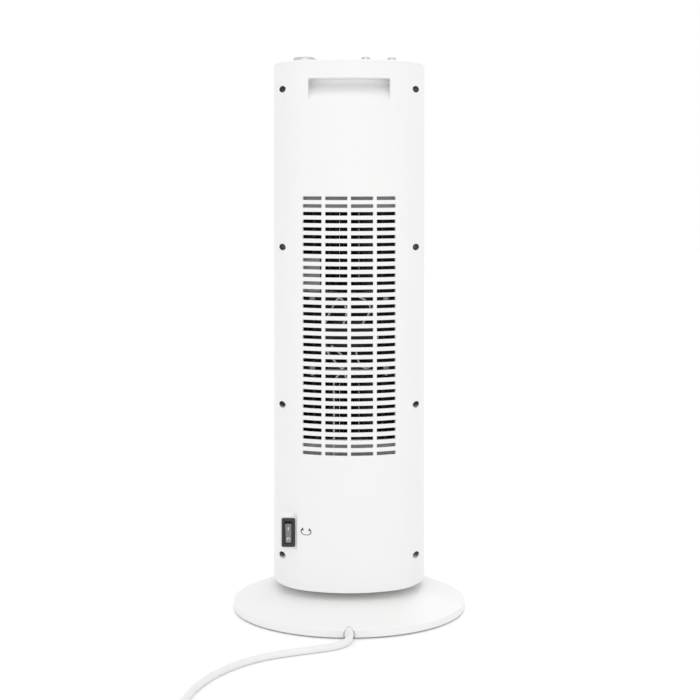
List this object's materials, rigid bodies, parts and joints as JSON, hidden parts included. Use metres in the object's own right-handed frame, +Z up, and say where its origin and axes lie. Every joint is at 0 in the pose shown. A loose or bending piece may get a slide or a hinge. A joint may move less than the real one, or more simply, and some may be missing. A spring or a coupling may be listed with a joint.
{
  "type": "ceramic tower heater",
  "caption": "Free-standing oscillating ceramic tower heater with a rear intake grille, finger scoop, top knob and buttons, round swivel base and mains cord.",
  "frame": {"origin": "centre of the base on the surface it stands on", "axes": "+Z up, -Y the way the warm air leaves, +Y the rear with the intake grille, switch and cord"},
  "size_m": [0.2785, 0.62, 0.5955],
  "materials": {
    "white_plastic": "fine moulded satin, white",
    "dark_plastic": "satin, near black",
    "grey_plastic": "satin mid grey",
    "duct_plastic": "satin light grey",
    "chrome_trim": "bright plated",
    "steel": "rolled",
    "black_screw": "blackened",
    "aluminium_fins": "mill",
    "brass": "mill",
    "rubber": "matte",
    "cord_white": "soft satin white vinyl",
    "ivory_plastic": "natural, satin",
    "lamp_amber": "clear amber",
    "mark_ink": "printed ink"
  },
  "bodies": {
    "base": {"base_cover": "white_plastic", "base_plate": "steel", "rubber_feet": "rubber", "base_screws": "steel", "swivel_wear_ring": "ivory_plastic", "pivot_post": "steel", "gear_sector": "ivory_plastic", "pivot_retaining_ring": "steel", "cord_strain_relief": "cord_white", "cord_clamp": "ivory_plastic", "base_lead": "cord_white", "tip_switch_body": "dark_plastic", "mains_cord": "cord_white", "cord_coil": "cord_white", "plug_body": "cord_white", "plug_pins": "steel"},
    "tower": {"front_housing": "white_plastic", "rear_housing": "white_plastic", "top_panel": "white_plastic", "tower_floor": "white_plastic", "housing_screws": "black_screw", "outlet_grille": "dark_plastic", "duct_top_plate": "duct_plastic", "duct_bottom_plate": "duct_plastic", "blower_scroll": "dark_plastic", "blower_cutoff": "dark_plastic", "motor_brackets": "steel", "motor_stator": "steel", "motor_coil": "ivory_plastic", "motor_screws": "ivory_plastic", "heater_frame": "dark_plastic", "upper_heating_element": "aluminium_fins", "lower_heating_element": "aluminium_fins", "heater_terminals": "brass", "thermal_cutout": "ivory_plastic", "thermostat_body": "ivory_plastic", "push_switches": "dark_plastic", "button_bezels": "chrome_trim", "pilot_lamp": "lamp_amber", "oscillation_motor": "steel", "rocker_switch_body": "dark_plastic", "oscillation_mark": "mark_ink", "terminal_block": "ivory_plastic", "wire_harness": "cord_white"},
    "tip_plunger": {"tip_plunger": "ivory_plastic"},
    "blower": {"upper_blower_wheel": "dark_plastic", "lower_blower_wheel": "dark_plastic", "motor_shaft": "steel"},
    "pinion": {"oscillation_pinion": "ivory_plastic"},
    "knob": {"thermostat_knob": "chrome_trim", "thermostat_spindle": "steel"},
    "low_button": {"low_heat_button": "chrome_trim"},
    "high_button": {"high_heat_button": "chrome_trim"},
    "rocker": {"oscillation_rocker": "grey_plastic"}
  },
  "joints": [
    {"name": "swivel", "type": "hinge", "parent": "base", "child": "tower", "pos_m": [0, 0, 0.04], "axis": [0, 0, 1], "range_deg": [-32, 32]},
    {"name": "pinion_spin", "type": "hinge", "parent": "tower", "child": "pinion", "pos_m": [0, -0.0525, 0.048], "axis": [0, 0, 1], "range_deg": [-160, 160]},
    {"name": "blower_spin", "type": "hinge", "parent": "tower", "child": "blower", "pos_m": [0, 0.014, 0.3], "axis": [0, 0, 1], "continuous": true},
    {"name": "thermostat_turn", "type": "hinge", "parent": "tower", "child": "knob", "pos_m": [0.048, -0.008, 0.592], "axis": [0, 0, 1], "range_deg": [-270, 0]},
    {"name": "low_heat_press", "type": "slide", "parent": "tower", "child": "low_button", "axis": [0, 0, -1], "range_m": [0, 0.0025], "stiffness_N_per_m": 400, "springref_m": -0.002},
    {"name": "high_heat_press", "type": "slide", "parent": "tower", "child": "high_button", "axis": [0, 0, -1], "range_m": [0, 0.0025], "stiffness_N_per_m": 400, "springref_m": -0.002},
    {"name": "rocker_tilt", "type": "hinge", "parent": "tower", "child": "rocker", "pos_m": [0.0636, 0.0579, 0.0932], "axis": [1, 0, 0], "range_deg": [0, 20]},
    {"name": "tip_release", "type": "slide", "parent": "base", "child": "tip_plunger", "axis": [0, 0, -1], "range_m": [0, 0.003], "stiffness_N_per_m": 40, "springref_m": 0.003}
  ],
  "couplings": [
    {"joint": "pinion_spin", "follows": "swivel", "ratio": 5}
  ]
}
